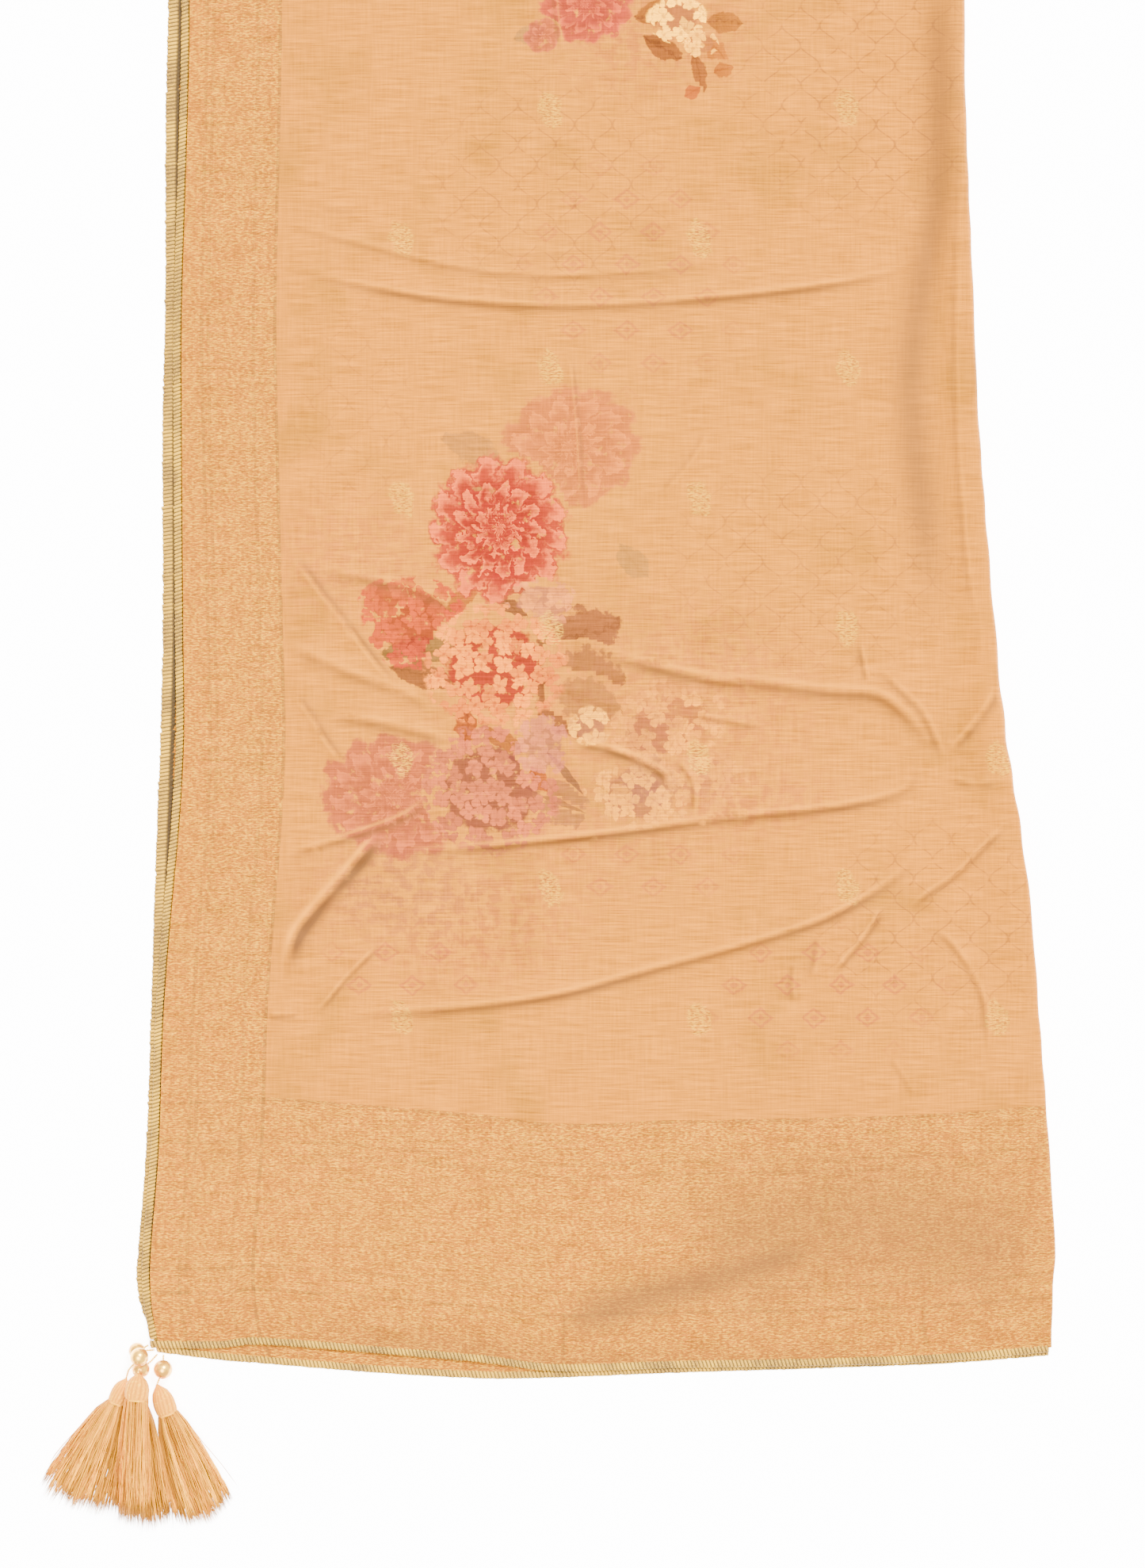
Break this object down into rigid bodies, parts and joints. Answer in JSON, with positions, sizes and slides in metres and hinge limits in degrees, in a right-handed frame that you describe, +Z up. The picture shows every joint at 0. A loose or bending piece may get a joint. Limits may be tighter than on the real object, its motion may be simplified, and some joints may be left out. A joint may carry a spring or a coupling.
{
  "type": "dupatta stole",
  "caption": "Folded dupatta stole lying flat: woven floral silk-blend cloth with gold brocade borders, thread-wrapped edging, and beaded tassels at its corners.",
  "frame": {"origin": "on the floor, under the middle of the laid-out stole's bounding box", "axes": "+Y along the length, away from the end the picture shows; +X across, from the long edges to the soft fold; +Z up"},
  "size_m": [0.512, 2.5872, 0.018],
  "materials": {
    "silk_blend_cloth": "soft satin sheen, woven, printed flowers, gold brocade borders",
    "edging_thread": "closely wrapped thread, khaki",
    "tassel_thread": "soft viscose thread",
    "pearl_bead": "gold pearl gloss",
    "gold_thread": "metallic zari thread"
  },
  "bodies": {
    "root": {"bead_far_back": "pearl_bead", "bead_far_left": "pearl_bead", "bead_far_right": "pearl_bead", "bead_far_top": "pearl_bead", "bead_near_back": "pearl_bead", "bead_near_left": "pearl_bead", "bead_near_right": "pearl_bead", "bead_near_top": "pearl_bead", "cloth_lower": "silk_blend_cloth", "cloth_upper": "silk_blend_cloth", "edging_lower_far": "edging_thread", "edging_lower_long": "edging_thread", "edging_lower_near": "edging_thread", "edging_upper_far": "edging_thread", "edging_upper_long": "edging_thread", "edging_upper_near": "edging_thread", "tassel_far_back": "tassel_thread", "tassel_far_left": "tassel_thread", "tassel_far_right": "tassel_thread", "tassel_far_top": "tassel_thread", "tassel_near_back": "tassel_thread", "tassel_near_left": "tassel_thread", "tassel_near_right": "tassel_thread", "tassel_near_top": "tassel_thread", "thread_far_back_corner": "gold_thread", "thread_far_back_neck": "gold_thread", "thread_far_left_corner": "gold_thread", "thread_far_left_neck": "gold_thread", "thread_far_right_corner": "gold_thread", "thread_far_right_neck": "gold_thread", "thread_far_top_corner": "gold_thread", "thread_far_top_neck": "gold_thread", "thread_near_back_corner": "gold_thread", "thread_near_back_neck": "gold_thread", "thread_near_left_corner": "gold_thread", "thread_near_left_neck": "gold_thread", "thread_near_right_corner": "gold_thread", "thread_near_right_neck": "gold_thread", "thread_near_top_corner": "gold_thread", "thread_near_top_neck": "gold_thread"}
  },
  "joints": []
}
